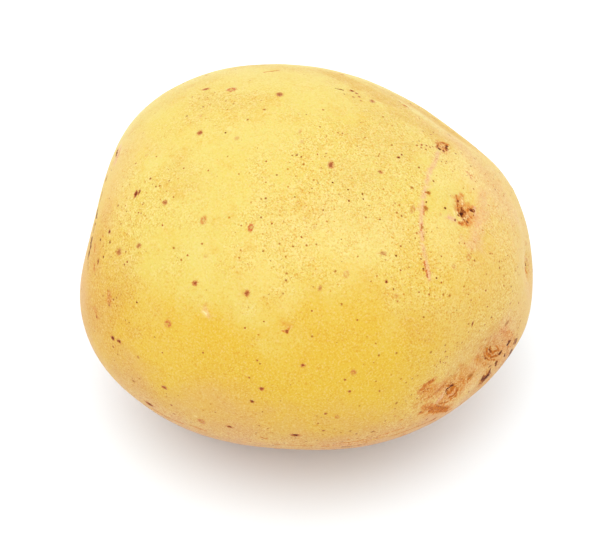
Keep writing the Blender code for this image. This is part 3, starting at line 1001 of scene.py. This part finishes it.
skinLook = {
    "paleYellow": (0.600, 0.492, 0.128, 1),
    "freshYellow": (0.595, 0.470, 0.100, 1),
    # painted shade round the belly
    "shadedGolden": (0.585, 0.378, 0.034, 1),
    "deepGold": (0.560, 0.330, 0.028, 1),
    # painted shade underneath, and the same tan on the lower stem end
    "shadeAndStemTan": (0.532, 0.278, 0.130, 1),
    "budPink": (0.588, 0.396, 0.100, 1),
    "tan": (0.510, 0.262, 0.050, 1),
    "netDark": (0.86, 0.43, 0.09, 1),  # a tint over what is below
    "netTan": (0.600, 0.325, 0.028, 1),
    "netPale": (0.690, 0.580, 0.230, 1),
    "rustWash": (0.515, 0.172, 0.014, 1),
    "rust": (0.310, 0.070, 0.005, 1),
    "rustPale": (0.480, 0.140, 0.010, 1),
    "grainPale": (0.650, 0.495, 0.245, 1),
    "pink": (0.600, 0.340, 0.195, 1),
    "cream": (0.740, 0.630, 0.290, 1),
    "brown": (0.230, 0.055, 0.007, 1),
    "pit": (0.075, 0.014, 0.004, 1),
    "poreRed": (0.500, 0.140, 0.040, 1),
    "poreOrange": (0.400, 0.140, 0.012, 1),
    "poreCore": (0.260, 0.045, 0.011, 1),
    "dotCore": (0.050, 0.010, 0.003, 1),
    "freckleLight": (0.470, 0.165, 0.008, 1),
    "freckleDark": (0.230, 0.040, 0.004, 1),
    # where the broad tones turn, in metres; each turn strays by a noise. The turns by height paint shade
    # lower down the body.
    "shadeGoldHeights": (0.058, 0.040),  # painted shade: golden below these heights over the table
    # painted shade: tan below these heights over the table
    "shadeLowerHeights": (0.038, 0.010),
    "stemHeights": (0.052, 0.030),
    "stemReach": (-0.026, -0.046),  # tan towards the stem end, past these lengths
    "budReach": (0.022, 0.040),  # and pinker towards the bud end
    "strayUp": 0.030,
    "strayAlong": 0.016,
    # noises: size in mm, detail, roughness and twist
    "strayNoise": (14, 3.0, 0.55, 0.3),
    "cloudNoise": (11, 3.0, 0.55, 0.3),
    "goldNoise": (4.5, 4.0, 0.65),
    "raggedNoise": (0.7, 4.0, 0.7),
    "blotchNoise": (1.7, 3.0, 0.6),
    "rustNoise": (0.50, 3.0, 0.6),
    "grainNoise": (0.38, 3.0, 0.65),
    "glossNoise": (1.2, 3.0),
    "pebbleNoise": (0.45, 4.0, 0.6),
    # soft steps in those noises, from none to full
    "cloudStep": (0.35, 0.68),
    "goldStep": (0.50, 0.74),
    "washStep": (0.14, 0.58),
    "rustStep": (0.40, 0.56),
    "grainDarkStep": (0.52, 0.74),
    "grainPaleStep": (0.50, 0.28),
    # how fields break up: their ragged edges, and their crumbs' size in mm and soft step
    "washRagged": 1.5,
    "washBlotches": 0.55,
    "pinkRagged": 0.9,
    "tanRagged": 1.8,
    "crumbNoise": (3.0, 0.6),  # detail and roughness
    "crumbBite": 0.95,
    "creamCrumbs": (0.45, 0.55, 0.80),
    "rustCrumbs": (0.34, 0.55, 0.80),
    "brownCrumbs": (0.30, 0.32, 0.54),
    "pitCrumbs": (0.35, 0.55, 0.85),
    # what the netting and the freckles cover: on clean skin, and more where it is rough or tan
    "netCover": (0.38, 0.42, 0.30),
    "freckleShare": (0.045, 0.36),
    "fineNet": {"Mesh Size": 0.34, "Patch Size": 6.0},
    "wideNet": {"Mesh Size": 1.1, "Patch Size": 9.0},
    "paleNet": (0.65, 0.20, 0.60),  # the pale flecks' share: on top, on the belly under the painted shade, on rough skin
    "freckles": {"Spacing": 0.80, "Size": 0.23},
    # the strongest that each layer gets
    "most": {
        "deepGold": 0.45, "budPink": 0.85, "stemTan": 0.75, "rustWash": 0.95, "cream": 0.50,
        "pink": 0.85, "wideDark": 0.28, "widePale": 0.60, "fineDark": 0.76, "tan": 0.45,
        "grainDark": 0.42, "grainPale": 0.40, "rust": 0.90, "freckles": 0.85, "cores": 0.90,
    },
    "roughness": 0.44,
    "roughSwing": 0.16,
    "dullness": 0.22,  # added where the skin is rusty or pitted
    "tanDullness": 0.6,  # a share of that
    "sockets": {
        "IOR": 1.45,
        "Specular IOR Level": 0.12,
        "Sheen Weight": 0.03,
        "Sheen Roughness": 0.45,
        "Sheen Tint": (1.0, 0.86, 0.74, 1),
        "Subsurface Weight": 0.12,
        "Subsurface Radius": (1.0, 0.45, 0.12),
        "Subsurface Scale": 1.6 * mm,
    },
    "relief": {"pebble": 0.55, "net": 0.35, "pores": 0.7, "freckles": 0.5},
    "bump": {"Strength": 0.8, "Distance": 0.1 * mm},
}
most = skinLook["most"]


def readSkin(tree):
    # the place and the mesh's fields, by name; the layers below add what the relief needs
    place = addNode(tree, "TexCoord", {}).outputs["Object"]
    mark = addNode(tree, "Attribute", {}, attribute_name="markPlace").outputs["Vector"]
    skin = {"place": place, "mark": mark}
    for name, fields in (*strokeFields.items(), ("markTone", ("disc", "core", "ring", "hue"))):
        layer = addNode(tree, "Attribute", {}, attribute_name=name).outputs
        parts = addNode(tree, "SeparateColor", {0: layer["Color"]}).outputs
        channels = (parts["Red"], parts["Green"], parts["Blue"], layer["Alpha"])
        skin.update(zip(fields, channels))
    skin["ragged"] = swingAt(tree, place, *skinLook["raggedNoise"])
    return skin


def broken(tree, skin, field, bite, clamp=True):
    # a stroke's field with its edge eaten by noise
    bitten = maths(tree, "MULTIPLY", maths(tree, "MULTIPLY", skin["ragged"], bite), field)
    return maths(tree, "ADD", field, bitten, clamp)


def crumbled(tree, skin, field, size, low, high):
    # a stroke's field cut into crisp crumbs by fine noise
    grain = swingAt(tree, skin["place"], size, *skinLook["crumbNoise"])
    return between(tree, nudged(tree, field, grain, skinLook["crumbBite"]), low, high)


def broadTone(tree, skin):
    # painted shade by height over the table: pale yellow on top, darker golden round the belly, tan
    # underneath; the same tan on the lower stem end, and pinker at the bud end
    place = skin["place"]
    spot = addNode(tree, "SeparateXYZ", {0: place}).outputs
    stray = swingAt(tree, place, *skinLook["strayNoise"])
    height = nudged(tree, spot["Z"], stray, skinLook["strayUp"])
    along = nudged(tree, spot["X"], stray, skinLook["strayAlong"])
    cloud = noiseAt(tree, place, *skinLook["cloudNoise"])
    cloud = between(tree, cloud, *skinLook["cloudStep"])
    colour = mixed(tree, cloud, skinLook["freshYellow"], skinLook["paleYellow"])
    # painted shade: darker golden lower down the body, by height over the table
    skin["belly"] = between(tree, height, *skinLook["shadeGoldHeights"])
    colour = mixed(tree, skin["belly"], colour, skinLook["shadedGolden"])
    gold = noiseAt(tree, place, *skinLook["goldNoise"])
    gold = between(tree, gold, *skinLook["goldStep"], 0.0, most["deepGold"])
    colour = mixed(tree, gold, colour, skinLook["deepGold"])
    budEnd = between(tree, along, *skinLook["budReach"])
    colour = mixed(tree, times(tree, budEnd, most["budPink"]), colour, skinLook["budPink"])
    stemEnd = times(tree, between(tree, along, *skinLook["stemReach"]),
                    between(tree, height, *skinLook["stemHeights"], 0.0, most["stemTan"]))
    # painted shade: tan underneath, by height; the lower stem end gets the same tan
    under = maths(tree, "MAXIMUM", between(tree, height, *skinLook["shadeLowerHeights"]), stemEnd)
    return mixed(tree, under, colour, skinLook["shadeAndStemTan"])


def addWash(tree, skin, colour):
    # a soft rusty wash, then creamy and pink places
    blotches = swingAt(tree, skin["place"], *skinLook["blotchNoise"])
    wash = broken(tree, skin, skin["rust"], skinLook["washRagged"], clamp=False)
    wash = nudged(tree, wash, blotches, skinLook["washBlotches"])
    wash = times(tree, between(tree, wash, *skinLook["washStep"]), most["rustWash"])
    colour = mixed(tree, wash, colour, skinLook["rustWash"])
    cream = crumbled(tree, skin, skin["cream"], *skinLook["creamCrumbs"])
    cream = maths(tree, "MAXIMUM", cream, times(tree, skin["cream"], most["cream"]))
    colour = mixed(tree, cream, colour, skinLook["cream"])
    pink = broken(tree, skin, skin["pink"], skinLook["pinkRagged"])
    return mixed(tree, times(tree, pink, most["pink"]), colour, skinLook["pink"])


def addNetting(tree, skin, colour):
    # netting, coarse and fine, thickest where the skin is rough
    clean, onRough, onTan = skinLook["netCover"]
    cover = maths(tree, "ADD", times(tree, skin["tan"], onTan), times(tree, skin["freckle"], onRough))
    cover = maths(tree, "ADD", clean, cover)
    netting = makeNettingGroup()
    given = {"Place": skin["place"], "Cover": cover}
    fine = addNode(tree, "Group", {**given, **skinLook["fineNet"]}, node_tree=netting).outputs
    wide = addNode(tree, "Group", {**given, **skinLook["wideNet"]}, node_tree=netting).outputs
    skin["net"] = fine["Dark"]
    onTop, onBelly, onRough = skinLook["paleNet"]
    # the pale flecks thin out over the painted shade round the belly
    paleShare = maths(tree, "MAXIMUM", between(tree, skin["belly"], 0.0, 1.0, onTop, onBelly),
                      times(tree, skin["freckle"], onRough))
    widePale = times(tree, wide["Pale"], times(tree, paleShare, most["widePale"]))
    colour = mixed(tree, times(tree, wide["Dark"], most["wideDark"]), colour, skinLook["netTan"])
    colour = mixed(tree, widePale, colour, skinLook["netPale"])
    colour = mixed(tree, times(tree, fine["Pale"], paleShare), colour, skinLook["netPale"])
    fineDark = times(tree, fine["Dark"], most["fineDark"])
    colour = mixed(tree, fineDark, colour, skinLook["netDark"], "MULTIPLY")
    tan = broken(tree, skin, skin["tan"], skinLook["tanRagged"])
    colour = mixed(tree, times(tree, tan, most["tan"]), colour, skinLook["tan"])
    # a faint grain over all the skin
    grain = noiseAt(tree, skin["place"], *skinLook["grainNoise"])
    grainDark = between(tree, grain, *skinLook["grainDarkStep"], 0.0, most["grainDark"])
    colour = mixed(tree, grainDark, colour, skinLook["netDark"], "MULTIPLY")
    grainPale = between(tree, grain, *skinLook["grainPaleStep"], 0.0, most["grainPale"])
    return mixed(tree, grainPale, colour, skinLook["grainPale"])


def addSpecks(tree, skin, colour):
    # crisp crumbs of rust, freckles, pores and dots, and pits with a brown edge
    rustGrain = noiseAt(tree, skin["place"], *skinLook["rustNoise"])
    rustGrain = between(tree, rustGrain, *skinLook["rustStep"])
    rustTone = mixed(tree, rustGrain, skinLook["rust"], skinLook["rustPale"])
    rust = crumbled(tree, skin, skin["rust"], *skinLook["rustCrumbs"])
    colour = mixed(tree, times(tree, rust, most["rust"]), colour, rustTone)
    clean, onRough = skinLook["freckleShare"]
    share = maths(tree, "ADD", clean, times(tree, skin["freckle"], onRough))
    given = {"Place": skin["place"], "Share": share, **skinLook["freckles"]}
    freckles = addNode(tree, "Group", given, node_tree=makeFreckleGroup()).outputs
    freckleTone = mixed(tree, freckles["Tone"], skinLook["freckleLight"], skinLook["freckleDark"])
    colour = mixed(tree, times(tree, freckles["Dots"], most["freckles"]), colour, freckleTone)
    given = {"Place": skin["place"], "Mark": skin["mark"], "Disc": skin["disc"], "Core": skin["core"],
             "Ring": skin["ring"]}
    pore = addNode(tree, "Group", given, node_tree=makeMarkGroup()).outputs
    stainTone = mixed(tree, skin["hue"], skinLook["poreRed"], skinLook["poreOrange"])
    colour = mixed(tree, pore["Stain"], colour, stainTone)
    coreTone = mixed(tree, skin["hue"], skinLook["poreCore"], skinLook["dotCore"])
    colour = mixed(tree, times(tree, pore["Core"], most["cores"]), colour, coreTone)
    brown = crumbled(tree, skin, skin["pit"], *skinLook["brownCrumbs"])
    colour = mixed(tree, brown, colour, skinLook["brown"])
    pit = crumbled(tree, skin, skin["pit"], *skinLook["pitCrumbs"])
    skin["freckleDots"] = freckles["Dots"]
    skin["poreHeight"] = pore["Height"]
    return mixed(tree, pit, colour, skinLook["pit"])


def skinRoughness(tree, skin):
    # a thin satin skin, duller where it is tan, rusty or pitted
    dull = maths(tree, "MAXIMUM", maths(tree, "MAXIMUM", skin["rust"], skin["pit"]),
                 times(tree, skin["tan"], skinLook["tanDullness"]))
    grain = swingAt(tree, skin["place"], *skinLook["glossNoise"])
    rough = nudged(tree, skinLook["roughness"], grain, skinLook["roughSwing"])
    return maths(tree, "ADD", rough, times(tree, dull, skinLook["dullness"]))


def skinRelief(tree, skin):
    # pebbling and netting stand proud, freckles lie a little deeper
    share = skinLook["relief"]
    pebble = noiseAt(tree, skin["place"], *skinLook["pebbleNoise"])
    bumps = nudged(tree, times(tree, pebble, share["pebble"]), skin["net"], share["net"])
    bumps = nudged(tree, bumps, skin["poreHeight"], share["pores"])
    bumps = nudged(tree, bumps, skin["freckleDots"], -share["freckles"])
    return addNode(tree, "Bump", {"Height": bumps, **skinLook["bump"]}).outputs["Normal"]


def makeSkinMaterial():
    material = bpy.data.materials.new("potatoSkin")
    material.use_nodes = True
    tree = material.node_tree
    skin = readSkin(tree)
    colour = broadTone(tree, skin)
    for addLayer in (addWash, addNetting, addSpecks):
        colour = addLayer(tree, skin, colour)
    setSockets(tree, tree.nodes["Principled BSDF"], {
        "Base Color": colour,
        "Roughness": skinRoughness(tree, skin),
        "Normal": skinRelief(tree, skin),
        **skinLook["sockets"],
    })
    return material


potatoSkin = bpy.data.objects.new("potato_skin_mesh", makeSkinMesh())
potatoSkin.data.materials.append(makeSkinMaterial())
bpy.context.scene.collection.objects.link(potatoSkin)
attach(potatoSkin, "root")
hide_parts("potato")
print("skin", len(potatoSkin.data.polygons), "faces and",
      len(potatoSkin.active_material.node_tree.nodes), "nodes in its finish")

studio = {
    "floorSize": 4.0,
    "floor": {"Base Color": (0.83, 0.885, 0.92, 1), "Roughness": 0.6, "Specular IOR Level": 0.2},
    "sky": {"Color": (1.0, 1.0, 1.0, 1), "Strength": 1.46},
    "softbox": {"place": (-0.12, -0.25, 0.90), "aim": (0.0, 0.0, 0.03), "size": 0.7, "watts": 1.6},
}
view = {
    "lens": 160.0,
    "sensor": 36.0,
    "azimuth": 14.0,
    "elevation": 45.0,
    "distance": 0.5144,
    "target": (-0.00086, 0.0, 0.02790),
    "clip": (0.01, 20.0),
}


def makeFloor():
    half = studio["floorSize"] / 2
    corners = [(-half, -half, 0), (half, -half, 0), (half, half, 0), (-half, half, 0)]
    plane = bpy.data.meshes.new("tableTop")
    plane.from_pydata(corners, [], [(0, 1, 2, 3)])
    material = bpy.data.materials.new("whiteTable")
    material.use_nodes = True
    tree = material.node_tree
    setSockets(tree, tree.nodes["Principled BSDF"], studio["floor"])
    plane.materials.append(material)
    floor = bpy.data.objects.new("tableTop", plane)
    bpy.context.scene.collection.objects.link(floor)


def makeLights():
    world = bpy.data.worlds.new("whiteStudio")
    world.use_nodes = True
    setSockets(world.node_tree, world.node_tree.nodes["Background"], studio["sky"])
    bpy.context.scene.world = world
    box = studio["softbox"]
    lamp = bpy.data.lights.new("softbox", "AREA")
    lamp.shape = "DISK"
    lamp.size = box["size"]
    lamp.energy = box["watts"]
    light = bpy.data.objects.new("softbox", lamp)
    light.location = box["place"]
    aim = Vector(box["aim"]) - Vector(box["place"])
    light.rotation_euler = aim.to_track_quat("-Z", "Y").to_euler()
    bpy.context.scene.collection.objects.link(light)


def makeCamera():
    azimuth = math.radians(view["azimuth"])
    elevation = math.radians(view["elevation"])
    back = Vector((math.sin(azimuth) * math.cos(elevation), -math.cos(azimuth) * math.cos(elevation),
                   math.sin(elevation)))
    lens = bpy.data.cameras.new("studioCamera")
    lens.lens = view["lens"]
    lens.sensor_width = view["sensor"]
    lens.clip_start, lens.clip_end = view["clip"]
    camera = bpy.data.objects.new("studioCamera", lens)
    camera.location = Vector(view["target"]) + back * view["distance"]
    camera.rotation_euler = (-back).to_track_quat("-Z", "Y").to_euler()
    bpy.context.scene.collection.objects.link(camera)
    bpy.context.scene.camera = camera


makeFloor()
makeLights()
makeCamera()
bpy.context.scene.view_settings.view_transform = "Standard"
print("table, light and camera are in place")
